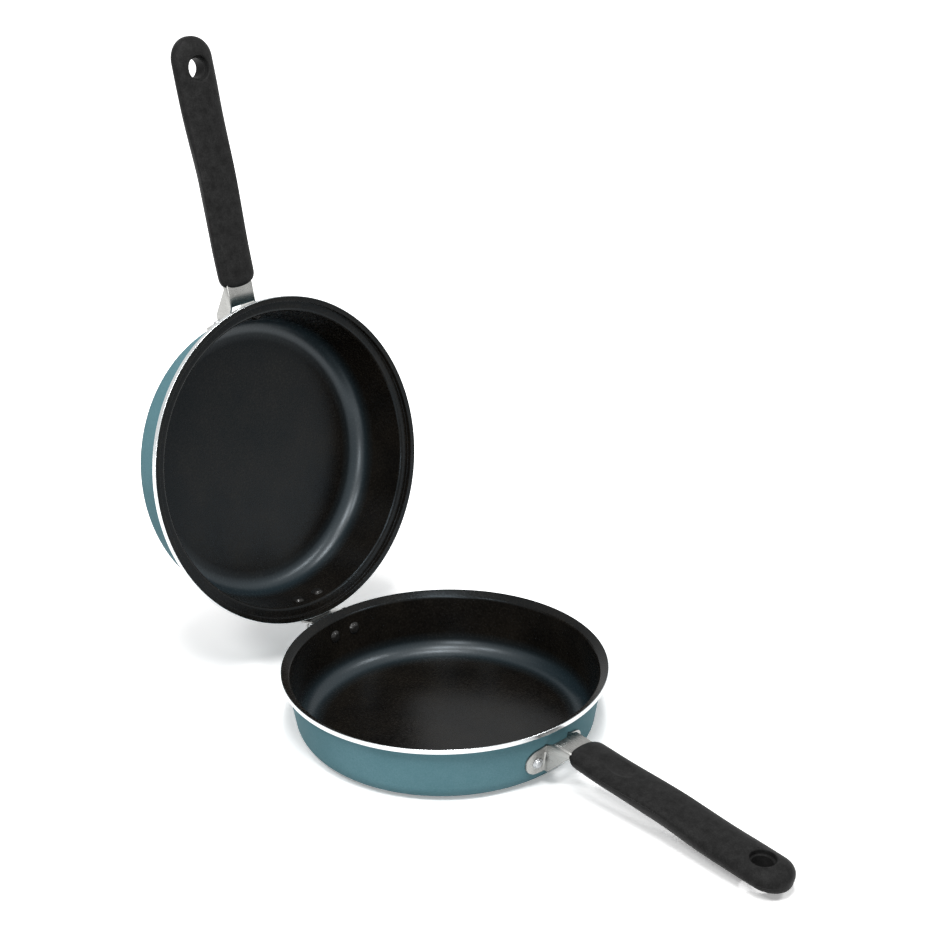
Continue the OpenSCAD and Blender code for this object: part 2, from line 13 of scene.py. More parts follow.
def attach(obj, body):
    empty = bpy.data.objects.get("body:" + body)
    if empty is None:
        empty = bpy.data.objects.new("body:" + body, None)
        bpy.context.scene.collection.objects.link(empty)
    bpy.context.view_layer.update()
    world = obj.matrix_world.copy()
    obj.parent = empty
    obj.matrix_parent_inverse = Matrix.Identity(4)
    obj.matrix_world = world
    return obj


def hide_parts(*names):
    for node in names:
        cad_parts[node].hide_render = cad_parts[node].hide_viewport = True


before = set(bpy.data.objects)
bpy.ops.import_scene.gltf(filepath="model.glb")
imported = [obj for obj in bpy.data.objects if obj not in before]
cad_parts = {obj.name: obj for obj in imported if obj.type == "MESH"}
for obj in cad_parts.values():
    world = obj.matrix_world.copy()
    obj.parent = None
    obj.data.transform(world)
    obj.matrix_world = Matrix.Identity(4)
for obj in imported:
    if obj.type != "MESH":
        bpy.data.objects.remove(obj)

log = logging.getLogger("flip_pan")
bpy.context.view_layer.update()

MM = 0.001
# Vertices closer than this, in metres, are one
WELD = 2e-6
# Radius, in metres, at which round pieces are unrolled for their UV map
UNROLL_R = 0.1
# Colour sockets of a Mix node
MIX_A, MIX_B, MIX_RESULT = 6, 7, 2

Point = tuple[float, float]
Corner = tuple[float, float, float]
Triple = tuple[float, float, float]
Socket = bpy.types.NodeSocket


class Half(Enum):
    """The two halves of the object, by the CAD body each rides on."""

    LOWER = "lower_half"
    UPPER = "upper_half"


class Zone(Enum):
    """Material zones of a pan's surface, by material slot index."""

    COATING = 0
    EDGE = 1
    ENAMEL = 2
    BASE = 3


# ---------------------------------------------------------------- colour and node helpers


def linear(code: str) -> tuple[float, float, float, float]:
    """Turns an sRGB hex colour into Blender's linear colour.

    Args:
        code: six hex digits.

    Returns:
        Linear red, green, blue and alpha.
    """
    channels = (int(code[i:i + 2], 16) / 255 for i in (0, 2, 4))
    return (*(c / 12.92 if c <= 0.04045 else ((c + 0.055) / 1.055) ** 2.4 for c in channels), 1.0)


def add_node(tree: bpy.types.NodeTree, kind: str, links: dict | None = None, **settings) -> bpy.types.Node:
    """Adds a node with its settings, input values and links.

    Args:
        tree: the node tree.
        kind: the node's type name.
        links: input name or index to a value or to another node's output.
        **settings: attributes of the node itself.

    Returns:
        The new node.
    """
    node = tree.nodes.new(kind)
    for name, value in settings.items():
        setattr(node, name, value)
    for name, value in (links or {}).items():
        socket = node.inputs[name]
        if isinstance(value, Socket):
            tree.links.new(value, socket)
        else:
            socket.default_value = value
    return node


# ---------------------------------------------------------------- finishes


@dataclass(frozen=True)
class Finish:
    """A surface as it is made, with its colours and the sizes of its patterns in millimetres.

    The grain carries the bump, the roughness and the small changes of colour, the cloud the large
    ones. Stretch draws the pattern out along an axis, as a brush or a lathe does. A pooled coat lies
    where a share of the drawn corner says that sprayed coating has run together, and the same share
    mixes the base colour towards a painted highlight tint.
    """

    name: str
    base: str
    varied: str
    metallic: float
    roughness: float
    rough_spread: float
    grain_mm: float
    grain_height: float
    cloud_mm: float = 40.0
    stretch: Triple = (1.0, 1.0, 1.0)
    specular: float = 0.5
    specular_tint: str = "ffffff"
    # In the drawn corner: a coat weight, and a painted highlight tint mixed into the base colour
    pooled_coat: float = 0.0
    painted_highlight_tint: str = "000000"
    coat_roughness: float = 0.2
    around: bool = False
    cloud_detail: float = 3.0
    grain_detail: float = 4.0
    noise_roughness: float = 0.6
    tone_range: Point = (0.12, 0.4)
    grain_range: Point = (0.3, 0.7)

    def pattern(self, tree: bpy.types.NodeTree, size_mm: float, detail: float) -> bpy.types.Node:
        """Adds a noise of a real size on the piece's own coordinates.

        Args:
            tree: the material's node tree.
            size_mm: size of one blotch or grain.
            detail: finer layers of the noise.

        Returns:
            The noise node.
        """
        where = add_node(tree, "ShaderNodeTexCoord")
        source = where.outputs["UV" if self.around else "Object"]
        spread = add_node(tree, "ShaderNodeMapping", {"Vector": source, "Scale": self.stretch})
        return add_node(tree, "ShaderNodeTexNoise", {
            "Vector": spread.outputs[0], "Scale": 1 / (size_mm * MM), "Detail": detail,
            "Roughness": self.noise_roughness})

    def build(self) -> bpy.types.Material:
        """Builds the material.

        Returns:
            A material with varied colour, roughness and a fine bump.
        """
        material = bpy.data.materials.new(self.name)
        material.use_nodes = True
        tree = material.node_tree
        tree.nodes.clear()
        cloud = self.pattern(tree, self.cloud_mm, self.cloud_detail)
        grain = self.pattern(tree, self.grain_mm, self.grain_detail)
        blend = add_node(tree, "ShaderNodeMath", {0: cloud.outputs["Fac"], 1: grain.outputs["Fac"]},
                         operation="MULTIPLY")
        tone = add_node(tree, "ShaderNodeMapRange", {
            "Value": blend.outputs[0], "From Min": self.tone_range[0], "From Max": self.tone_range[1],
            "To Min": 0.0, "To Max": 1.0})
        colour = add_node(tree, "ShaderNodeMix", {
            "Factor": tone.outputs[0], MIX_A: linear(self.base), MIX_B: linear(self.varied)}, data_type="RGBA")
        rough = add_node(tree, "ShaderNodeMapRange", {
            "Value": grain.outputs["Fac"], "From Min": self.grain_range[0], "From Max": self.grain_range[1],
            "To Min": self.roughness - self.rough_spread, "To Max": self.roughness + self.rough_spread})
        bump = add_node(tree, "ShaderNodeBump", {
            "Height": grain.outputs["Fac"], "Strength": 1.0, "Distance": self.grain_height * MM})
        coat = 0.0
        if self.pooled_coat:
            pooled = add_node(tree, "ShaderNodeAttribute", attribute_name="pooled")
            coat = add_node(tree, "ShaderNodeMath", {0: pooled.outputs["Fac"], 1: self.pooled_coat},
                            operation="MULTIPLY").outputs[0]
            # Painted highlight: where the corner share is high, the base colour turns to a lighter cool blue
            # grey that stands in for the glints there
            colour = add_node(tree, "ShaderNodeMix", {
                "Factor": pooled.outputs["Fac"], MIX_A: colour.outputs[MIX_RESULT],
                MIX_B: linear(self.painted_highlight_tint)}, data_type="RGBA")
        shader = add_node(tree, "ShaderNodeBsdfPrincipled", {
            "Base Color": colour.outputs[MIX_RESULT], "Roughness": rough.outputs[0], "Metallic": self.metallic,
            "Specular IOR Level": self.specular, "Specular Tint": linear(self.specular_tint),
            "Coat Weight": coat, "Coat Roughness": self.coat_roughness, "Normal": bump.outputs[0]})
        add_node(tree, "ShaderNodeOutputMaterial", {"Surface": shader.outputs[0]})
        return material


# Sprayed PTFE non-stick coating, baked: brown black with mineral flecks and a very low index, so its
# gloss is faint and cool. The spray pools in the drawn corner and flows out smoother there, so the
# corner catches broad soft highlights, and there its colour is painted a lighter cool blue grey, a
# painted highlight tint. Its orange peel is 1.8 mm from bump to bump.
NON_STICK = Finish("ptfe_non_stick_coating", "080706", "181511", 0.0, 0.25, 0.07, 1.8, 0.05, specular=0.15,
                   specular_tint="c8deec", pooled_coat=0.6, painted_highlight_tint="121d22", coat_roughness=0.36)
# Sprayed and baked grey-blue enamel: satin, almost without gloss, its tone uneven by a hair and its
# orange peel 1.2 mm from bump to bump.
ENAMEL = Finish("baked_grey_blue_enamel", "577d85", "658a93", 0.0, 0.46, 0.05, 1.2, 0.02, specular=0.01)
# Bare aluminium turned on a lathe: bright, with fine lines round the rim. The real lines are about
# 0.1 mm apart; they are drawn 0.6 mm apart, so that they show.
TURNED_EDGE = Finish("turned_bare_aluminium", "c2c5c6", "e2e5e6", 1.0, 0.24, 0.06, 0.6, 0.01,
                     stretch=(0.02, 1.0, 1.0), around=True)
# The same metal on the base, duller from cooking heat, its lines drawn 0.8 mm apart for the same reason.
TURNED_BASE = Finish("turned_base_aluminium", "6a6c6e", "8e9092", 1.0, 0.36, 0.08, 0.8, 0.02,
                     stretch=(0.02, 1.0, 1.0), around=True)
# Stamped stainless sheet, finely brushed along the handle: grey with long soft streaks. A real brush
# leaves lines 0.05 mm apart; they are drawn 0.5 mm apart, so that they show.
BRUSHED_STEEL = Finish("brushed_stainless_sheet", "838381", "a3a3a0", 1.0, 0.3, 0.06, 0.5, 0.012,
                       stretch=(0.06, 1.0, 1.0))
# Aluminium rivet, upset cold: satin and slightly rough.
RIVET_METAL = Finish("satin_aluminium_rivet", "8f9193", "b4b6b8", 1.0, 0.28, 0.06, 0.6, 0.02)
# Rivet head inside the pan, sprayed with the same coating as the pan but smoother, so it shows glints.
COATED_RIVET = Finish("coated_rivet_head", "0f0e0d", "1d1c1b", 0.0, 0.22, 0.05, 0.9, 0.02, specular=0.3)
# Zinc plated steel screws and pin: bright with a slight haze.
PLATED_STEEL = Finish("zinc_plated_steel", "9da0a2", "c3c6c8", 1.0, 0.24, 0.05, 0.8, 0.006)
# Compression moulded phenolic: matte black, its bloom and mould grain scatter nearly all the gloss.
# The grain of the mould is about 0.2 mm; it is drawn at 1.1 mm, so that it shows.
PHENOLIC = Finish("moulded_black_phenolic", "151515", "272727", 0.0, 0.46, 0.06, 1.1, 0.05, cloud_mm=6.0,
                  specular=0.05)


# ---------------------------------------------------------------- outlines


def rounded(p: Sequence[float], q: Sequence[float], s: Sequence[float], step: float = 5.0) -> list[Point]:
    """Rounds the corner q, given as x, y and radius, between its neighbours.

    Args:
        p: the corner before.
        q: the corner to round, with its radius as third value.
        s: the corner after.
        step: degrees between points of the arc.

    Returns:
        The arc's points.
    """
    at = Vector(q[:2])
    a, b = (Vector(p[:2]) - at).normalized(), (Vector(s[:2]) - at).normalized()
    half = a.angle(b) / 2
    centre = at + (a + b).normalized() * q[2] / math.sin(half)
    start, stop = at + a * q[2] / math.tan(half) - centre, at + b * q[2] / math.tan(half) - centre
    first = math.atan2(start.y, start.x)
    sweep = (math.atan2(stop.y, stop.x) - first + math.pi) % math.tau - math.pi
    count = max(4, math.ceil(math.degrees(abs(sweep)) / step))
    turns = (first + sweep * i / count for i in range(count + 1))
    return [(centre.x + q[2] * math.cos(t), centre.y + q[2] * math.sin(t)) for t in turns]


def outline(corners: Sequence[Sequence[float]]) -> list[Point]:
    """Turns corners of x, y and rounding radius into a closed outline.

    Args:
        corners: the corners in order.

    Returns:
        The outline's points.
    """
    points: list[Point] = []
    for i, corner in enumerate(corners):
        if corner[2]:
            points += rounded(corners[i - 1], corner, corners[(i + 1) % len(corners)])
        else:
            points.append((corner[0], corner[1]))
    return points


def subdivided(points: Sequence[Point], longest: float) -> list[Point]:
    """Adds points to an open outline so that no stretch is longer than a limit.

    Args:
        points: the outline.
        longest: the limit.

    Returns:
        The finer outline.
    """
    fine: list[Point] = []
    for (x0, y0), (x1, y1) in zip(points, points[1:]):
        count = max(1, math.ceil(math.hypot(x1 - x0, y1 - y0) / longest))
        fine += [(x0 + (x1 - x0) * i / count, y0 + (y1 - y0) * i / count) for i in range(count)]
    return fine + [points[-1]]


def smooth_step(share: float) -> float:
    """Eases a share from 0 to 1 in and out."""
    return share * share * (3 - 2 * share)


# ---------------------------------------------------------------- mesh helpers


def new_object(name: str, mesh: bpy.types.Mesh, materials: Iterable[bpy.types.Material]) -> bpy.types.Object:
    """Puts a mesh into the scene.

    Args:
        name: the object's name.
        mesh: its mesh, in metres, in its final place.
        materials: its material slots in order.

    Returns:
        The new object.
    """
    obj = bpy.data.objects.new(name, mesh)
    bpy.context.scene.collection.objects.link(obj)
    for material in materials:
        mesh.materials.append(material)
    return obj


def settle(obj: bpy.types.Object) -> None:
    """Replaces the object's mesh by its evaluated one and removes its modifiers.

    Args:
        obj: the object.
    """
    evaluated = obj.evaluated_get(bpy.context.evaluated_depsgraph_get())
    mesh = bpy.data.meshes.new_from_object(evaluated)
    obj.modifiers.clear()
    obj.data = mesh


def smooth_by_angle(mesh: bpy.types.Mesh, degrees: float) -> None:
    """Shades a mesh smooth but keeps edges sharper than an angle crisp."""
    mesh.shade_smooth()
    mesh.set_sharp_from_angle(angle=math.radians(degrees))


def turned_tree(zone_count: int) -> bpy.types.NodeTree:
    """Builds the node tree that turns a profile round its axis and stands one copy at every seat.

    The profile is a row of loose vertices, radius along X and height along Z, with the attributes
    zone, the finish of the stretch after each vertex, run, the length up to it, and a share of the
    drawn corner, where the coating is thickest and a painted highlight tint is mixed in. A seat is a
    vertex with the attribute facing, the Euler angles of its axis.

    Args:
        zone_count: number of finishes along the profile.

    Returns:
        The tree, with named inputs for the profile, its two sizes, the steps and the finishes.
    """
    tree = bpy.data.node_groups.new("turned_pieces", "GeometryNodeTree")
    tree.interface.new_socket(name="Seats", in_out="INPUT", socket_type="NodeSocketGeometry")
    for name, kind in (("Profile", "Object"), ("Radius", "Float"), ("Length", "Float"), ("Turns", "Int"),
                       *((f"Finish {i}", "Material") for i in range(zone_count))):
        tree.interface.new_socket(name=name, in_out="INPUT", socket_type=f"NodeSocket{kind}")
    tree.interface.new_socket(name="Pieces", in_out="OUTPUT", socket_type="NodeSocketGeometry")

    def math_node(operation: str, a: object, b: object = 0.0) -> Socket:
        """Adds a math node and gives its result."""
        return add_node(tree, "ShaderNodeMath", {0: a, 1: b}, operation=operation).outputs[0]

    def along_profile(kind: str, value: Socket, index: Socket) -> Socket:
        """Reads a value at one vertex of the sized profile."""
        return add_node(tree, "GeometryNodeSampleIndex", {"Geometry": sized, "Value": value, "Index": index},
                        data_type=kind).outputs[0]

    def attribute(kind: str, name: str) -> Socket:
        """Reads a named attribute."""
        return add_node(tree, "GeometryNodeInputNamedAttribute", {"Name": name}, data_type=kind).outputs[0]

    given = add_node(tree, "NodeGroupInput").outputs
    source = add_node(tree, "GeometryNodeObjectInfo", {"Object": given["Profile"]})
    size = add_node(tree, "ShaderNodeCombineXYZ", {"X": given["Radius"], "Y": 1.0, "Z": given["Length"]})
    sized = add_node(tree, "GeometryNodeTransform", {
        "Geometry": source.outputs["Geometry"], "Scale": size.outputs[0]}).outputs[0]
    count = add_node(tree, "GeometryNodeAttributeDomainSize", {"Geometry": sized}).outputs["Point Count"]

    # A grid of one metre, columns round the axis and rows along the profile, is bent into the piece
    grid = add_node(tree, "GeometryNodeMeshGrid", {
        "Size X": 1.0, "Size Y": 1.0, "Vertices X": math_node("ADD", given["Turns"], 1.0), "Vertices Y": count})
    position = add_node(tree, "GeometryNodeInputPosition").outputs[0]
    flat = add_node(tree, "ShaderNodeSeparateXYZ", {0: position}).outputs
    share = math_node("ADD", flat["X"], 0.5)
    step = math_node("MULTIPLY", math_node("ADD", flat["Y"], 0.5), math_node("SUBTRACT", count, 1.0))
    vertex, stretch = math_node("ROUND", step), math_node("FLOOR", step)
    point = add_node(tree, "ShaderNodeSeparateXYZ", {
        0: along_profile("FLOAT_VECTOR", position, vertex)}).outputs
    angle = math_node("MULTIPLY", share, math.tau)
    target = add_node(tree, "ShaderNodeCombineXYZ", {
        "X": math_node("MULTIPLY", point["X"], math_node("COSINE", angle)),
        "Y": math_node("MULTIPLY", point["X"], math_node("SINE", angle)), "Z": point["Z"]})

    zoned = add_node(tree, "GeometryNodeStoreNamedAttribute", {
        "Geometry": grid.outputs["Mesh"], "Name": "zone",
        "Value": along_profile("INT", attribute("INT", "zone"), stretch)}, data_type="INT", domain="FACE")
    unrolled = add_node(tree, "ShaderNodeCombineXYZ", {
        "X": math_node("MULTIPLY", angle, UNROLL_R),
        "Y": along_profile("FLOAT", attribute("FLOAT", "run"), vertex)})
    mapped = add_node(tree, "GeometryNodeStoreNamedAttribute", {
        "Geometry": zoned.outputs[0], "Name": "around", "Value": unrolled.outputs[0]},
        data_type="FLOAT2", domain="CORNER")
    # The corner share carries the pooled coat and the painted highlight tint into the material
    coated = add_node(tree, "GeometryNodeStoreNamedAttribute", {
        "Geometry": mapped.outputs[0], "Name": "pooled",
        "Value": along_profile("FLOAT", attribute("FLOAT", "pooled"), vertex)},
        data_type="FLOAT", domain="POINT")
    shaped = add_node(tree, "GeometryNodeSetPosition", {
        "Geometry": coated.outputs[0], "Position": target.outputs[0]})
    closed = add_node(tree, "GeometryNodeMergeByDistance", {"Geometry": shaped.outputs[0], "Distance": WELD})

    facing = add_node(tree, "FunctionNodeEulerToRotation", {0: attribute("FLOAT_VECTOR", "facing")})
    stood = add_node(tree, "GeometryNodeInstanceOnPoints", {
        "Points": given["Seats"], "Instance": closed.outputs[0], "Rotation": facing.outputs[0]})
    pieces = add_node(tree, "GeometryNodeRealizeInstances", {0: stood.outputs[0]}).outputs[0]
    for i in range(zone_count):
        here = add_node(tree, "FunctionNodeCompare", {"A": attribute("INT", "zone"), "B": i},
                        data_type="INT", operation="EQUAL")
        pieces = add_node(tree, "GeometryNodeSetMaterial", {
            "Geometry": pieces, "Selection": here.outputs[0], "Material": given[f"Finish {i}"]}).outputs[0]
    add_node(tree, "NodeGroupOutput", {0: pieces})
    return tree


def turned(name: str, points: Sequence[Point], zones: Sequence[int], seats: Sequence[Matrix],
           finishes: Sequence[bpy.types.Material], turns: int,
           pooled: Sequence[float] = ()) -> bpy.types.Object:
    """Makes turned pieces with the node tree and settles them into one plain mesh.

    Args:
        name: the piece's name.
        points: the profile of radius and height, in millimetres, from axis to axis and bottom to top.
        zones: one finish index for each stretch of the profile.
        seats: frame of each copy, in metres.
        finishes: the materials, in the order of the indices.
        turns: number of steps round the axis.
        pooled: share of the thickest coating at each point, which also sets how much painted highlight tint
            goes there, if it varies.

    Returns:
        The piece, at the origin, with a UV map in metres round and along the profile.
    """
    radius, length = max(r for r, _ in points), max(abs(z) for _, z in points)
    profile = bpy.data.meshes.new("profile")
    profile.from_pydata([(r / radius, 0.0, z / length) for r, z in points], [], [])
    runs = [0.0]
    for (r0, z0), (r1, z1) in zip(points, points[1:]):
        runs.append(runs[-1] + math.hypot(r1 - r0, z1 - z0) * MM)
    for label, kind, values in (("zone", "INT", [*zones, zones[-1]]), ("run", "FLOAT", runs),
                                ("pooled", "FLOAT", [*pooled] or [0.0] * len(points))):
        profile.attributes.new(label, kind, "POINT").data.foreach_set("value", values)
    guide = new_object("profile", profile, [])
    places = bpy.data.meshes.new(name)
    places.from_pydata([seat.to_translation() for seat in seats], [], [])
    angles = [a for seat in seats for a in seat.to_quaternion().to_euler()]
    places.attributes.new("facing", "FLOAT_VECTOR", "POINT").data.foreach_set("vector", angles)
    piece = new_object(name, places, [])
    modifier = piece.modifiers.new("turned", "NODES")
    modifier.node_group = turned_tree(len(finishes))
    inputs = {"Profile": guide, "Radius": radius * MM, "Length": length * MM, "Turns": turns,
              **{f"Finish {i}": finish for i, finish in enumerate(finishes)}}
    for item in modifier.node_group.interface.items_tree:
        if item.name in inputs:
            modifier[item.identifier] = inputs[item.name]
    settle(piece)
    bpy.data.objects.remove(guide)
    return piece


# ---------------------------------------------------------------- frames of the two halves


@dataclass
class Frames:
    """The hinge and the frames of both pans, in millimetres, as the CAD part has them."""

    hinge_r: float = 130.6
    hinge_drop: float = 11.5
    depth: float = 51.0
    open_angle: float = 103.1
    nest_depth: float = 3.5

    def pan(self, half: Half) -> Matrix:
        """Gives the matrix from a pan's own frame to the row frame.

        Both pans' frames have the rim plane at zero and the handle towards +X. The lower pan lies
        below its rim plane and the upper one above, so neither frame is mirrored.

        Args:
            half: lower or upper.

        Returns:
            The matrix, in metres.
        """
        if half is Half.LOWER:
            return Matrix.Translation((0, 0, self.depth * MM))
        to_axis = Matrix.Translation((-self.hinge_r * MM, 0, (self.depth - self.hinge_drop) * MM))
        opened = Matrix.Rotation(math.radians(-self.open_angle), 4, "Y")
        from_axis = Matrix.Translation((self.hinge_r * MM, 0, (self.hinge_drop - self.nest_depth) * MM))
        return to_axis @ opened @ from_axis

    def side(self, half: Half) -> int:
        """Gives 1 where heights below the rim are negative in the pan's frame, and -1 for the upper pan."""
        return 1 if half is Half.LOWER else -1

    def handle(self, half: Half, drop: float, tilt: float, web_x: float) -> Matrix:
        """Gives the matrix from a handle's own frame to the row frame.

        Args:
            half: lower or upper.
            drop: how far the web's face lies below the rim plane.
            tilt: how far the handle leans down, in degrees.
            web_x: distance of the web's root from the pan's axis.

        Returns:
            The matrix, in metres, mirrored for the upper pan.
        """
        flip = Matrix.Diagonal((1, 1, self.side(half), 1))
        local = Matrix.Translation((web_x * MM, 0, -drop * MM)) @ Matrix.Rotation(math.radians(tilt), 4, "Y")
        return self.pan(half) @ flip @ local


FRAMES = Frames()


def placed(mesh: bpy.types.Mesh, matrix: Matrix) -> bpy.types.Mesh:
    """Moves a mesh by a matrix and keeps its faces pointing outwards.

    Args:
        mesh: the mesh.
        matrix: where it goes; it may mirror.

    Returns:
        The same mesh.
    """
    mesh.transform(matrix)
    if matrix.determinant() < 0:
        mesh.flip_normals()
    return mesh


# ---------------------------------------------------------------- pans


@dataclass
class Pan:
    """A drawn aluminium pan and its rivets. Sizes in millimetres, as in the CAD part.

    Profiles are worked out for a pan that opens upwards, with the rim plane at height zero. Bends
    are rounding radii, and a rivet head is given by corners of radius, height and bend.
    """

    half: Half
    node: str
    stepped: bool
    hinge_rivet_drop: float
    ear_rise: float
    # wall, floor and base
    rim_r: float = 122.0
    overhang: float = 4.2
    draft: float = 9.8
    sheet: float = 2.6
    corner_r: float = 16.0
    ring_count: int = 6
    ring_h: float = 0.4
    ring_half_w: float = 0.6
    ring_floor_half_w: float = 0.5
    # lower rim: a flared lip
    edge_h: float = 3.8
    edge_bend: float = 0.4
    lip_rise: float = 2.5
    lip_rise_run: float = 0.2
    lip_bend: float = 2.5
    flare_h: float = 0.6
    flare_bend: float = 1.2
    # upper rim: a stepped recess that seats the lower one
    lip_w: float = 4.2
    nest_clear: float = 0.6
    step_h: float = 4.2
    step_bend: float = 2.0
    shoulder_in: float = 2.4
    shoulder_bend: float = 1.5
    neck_in: float = 1.9
    neck_h: float = 0.3
    neck_bend: float = 0.5
    collar_h: float = 0.2
    # where the bare edge ends, and the drawn corner where the coating pools and a highlight tint is painted
    bare_in: float = 0.38
    bare_below: float = 0.35
    corner_reach: float = 5.5
    corner_fade: float = 10.0
    # rivets
    rivet_r: float = 2.4
    rivet_gap: float = 0.12
    inner_head_r: float = 4.75
    inner_head_h: float = 2.3
    inner_head_flat: float = 0.55
    inner_head_side: float = 0.5
    inner_head_bends: Point = (3.0, 0.4)
    hinge_rivet_y: float = 10.0
    hinge_stack: float = 1.65
    hinge_head: tuple[Corner, ...] = ((3.8, 0, 0), (3.5, 1.1, 0.4), (0, 1.3, 0))
    ear_y: float = 18.0
    bracket_stack: float = 1.75
    bracket_head: tuple[Corner, ...] = (
        (4.3, 0, 0), (4.0, 0.8, 0.3), (3.3, 0.6, 0.25), (2.7, 2.0, 0.7), (0, 2.2, 0))
    # fineness of the meshes
    turns: int = 256
    longest: float = 6.0
    smooth_angle: float = 32.0
    rivet_turns: int = 40
    rivet_longest: float = 1.0
    rivet_smooth_angle: float = 34.0

    def wall_r(self, z: float) -> float:
        """Outer radius of the wall at a height."""
        return self.rim_r - self.overhang + (z + 5) * math.tan(math.radians(self.draft))

    def inner_r(self, z: float) -> float:
        """Inner radius of the wall at a height."""
        return self.wall_r(z) - self.sheet / math.cos(math.radians(self.draft))

    def top_r(self) -> float:
        """Outer radius of the rim."""
        return self.rim_r + (self.nest_clear + self.lip_w if self.stepped else 0)

    def base_r(self) -> float:
        """Radius of the flat base."""
        return self.wall_r(-FRAMES.depth) - self.corner_r

    def rim_corners(self) -> list[Sequence[float]]:
        """Corners of the rim, from the outside of the wall round to the inside.

        Returns:
            Corners of radius, height and bend.
        """
        edge, ledge = self.edge_bend, -self.edge_h
        if self.stepped:
            top_r, under = self.top_r(), -(self.edge_h + self.step_h)
            return [(self.wall_r(under), under, self.step_bend),
                    (top_r - self.shoulder_in, ledge - self.sheet, self.shoulder_bend),
                    (top_r - self.neck_in, ledge - self.neck_h, self.neck_bend),
                    (top_r, ledge - self.collar_h, edge), (top_r, 0, edge),
                    (top_r - self.lip_w, 0, edge), (top_r - self.lip_w, ledge, edge),
                    (self.inner_r(ledge), ledge, self.lip_bend)]
        slope = self.lip_rise / (self.overhang + self.lip_rise_run)
        lean = slope * math.tan(math.radians(self.draft))
        meet = (self.inner_r(0) - self.rim_r * lean) / (1 - lean)
        under = ledge - self.flare_h
        return [(self.wall_r(under), under, self.flare_bend), (self.rim_r, ledge, edge),
                (self.rim_r, 0, edge), (meet, -(self.rim_r - meet) * slope, self.lip_bend)]

    def base_profile(self) -> list[Point]:
        """Underside from the centre outwards, with shallow turned rings.

        Returns:
            Points of radius and height.
        """
        low, top = -FRAMES.depth, -FRAMES.depth + self.ring_h
        wide, narrow = self.ring_half_w, self.ring_floor_half_w
        points: list[Point] = [(0.0, low)]
        for i in range(1, self.ring_count + 1):
            r = self.base_r() * i / (self.ring_count + 0.5)
            points += [(r - wide, low), (r - narrow, top), (r + narrow, top), (r + wide, low)]
        return points

    def zone_of(self, a: Point, b: Point, outside: bool) -> Zone:
        """Chooses the material of one stretch of the profile.

        Args:
            a: its start.
            b: its end.
            outside: whether it lies before the rim's top on the way from the base.

        Returns:
            The zone.
        """
        middle_r, middle_z = (a[0] + b[0]) / 2, (a[1] + b[1]) / 2
        if middle_r > self.top_r() - self.bare_in and middle_z > -self.edge_h - self.bare_below:
            return Zone.EDGE
        if not outside:
            return Zone.COATING
        at_base = middle_r < self.base_r() and middle_z < 1 - FRAMES.depth
        return Zone.BASE if at_base else Zone.ENAMEL

    def corner_share_at(self, point: Point) -> float:
        """Finds how thick the sprayed coating lies at a point inside the pan, and so how much painted highlight
        tint goes there.

        Args:
            point: its radius and height.

        Returns:
            1 in the drawn corner, fading to 0 on the floor and on the wall.
        """
        floor_z = self.sheet - FRAMES.depth
        far = math.dist(point, (self.inner_r(floor_z), floor_z)) - self.corner_reach
        return smooth_step(min(1.0, max(0.0, 1 - far / self.corner_fade)))

    def build(self, materials: Sequence[bpy.types.Material]) -> bpy.types.Object:
        """Builds the pan over its CAD node.

        Args:
            materials: coating, edge, enamel and base, in the order of Zone.

        Returns:
            The pan.
        """
        depth, floor_z = FRAMES.depth, self.sheet - FRAMES.depth
        ring = outline([(0, -depth, 0), (self.wall_r(-depth), -depth, self.corner_r), *self.rim_corners(),
                        (self.inner_r(floor_z), floor_z, self.corner_r - self.sheet), (0, floor_z, 0)])
        points = subdivided(self.base_profile() + ring[1:], self.longest)
        top_at = max(range(len(points)), key=lambda i: (points[i][1], points[i][0]))
        zones = [self.zone_of(a, b, i < top_at).value for i, (a, b) in enumerate(zip(points, points[1:]))]
        # Corner share: the coat pools there, and the material paints a highlight tint there too
        pooled = [self.corner_share_at(p) if i >= top_at else 0.0 for i, p in enumerate(points)]
        if self.half is Half.UPPER:
            points, zones, pooled = [(r, -z) for r, z in reversed(points)], zones[::-1], pooled[::-1]
        pan = turned(f"{self.node}_body", points, zones, [FRAMES.pan(self.half)], materials, self.turns, pooled)
        smooth_by_angle(pan.data, self.smooth_angle)
        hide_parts(self.node)
        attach(pan, self.half.value)
        log.info("%s: %d faces", pan.name, len(pan.data.polygons))
        return pan

    def seat(self, y: float, z: float, at_hinge: bool) -> Matrix:
        """Gives the frame of a rivet that stands square on the wall's outer face, head outwards.

        Args:
            y: its distance from the middle plane.
            z: its height from the rim plane, negative.
            at_hinge: whether it stands at the hinge instead of the handle.

        Returns:
            The frame, in metres.
        """
        side, radius = FRAMES.side(self.half), self.wall_r(z)
        turn = math.asin(y / radius) + (math.pi if at_hinge else 0.0)
        tilt = math.radians(90 + side * self.draft)
        place = Matrix.Translation((radius * MM, 0, side * z * MM))
        return FRAMES.pan(self.half) @ Matrix.Rotation(turn, 4, "Z") @ place @ Matrix.Rotation(tilt, 4, "Y")

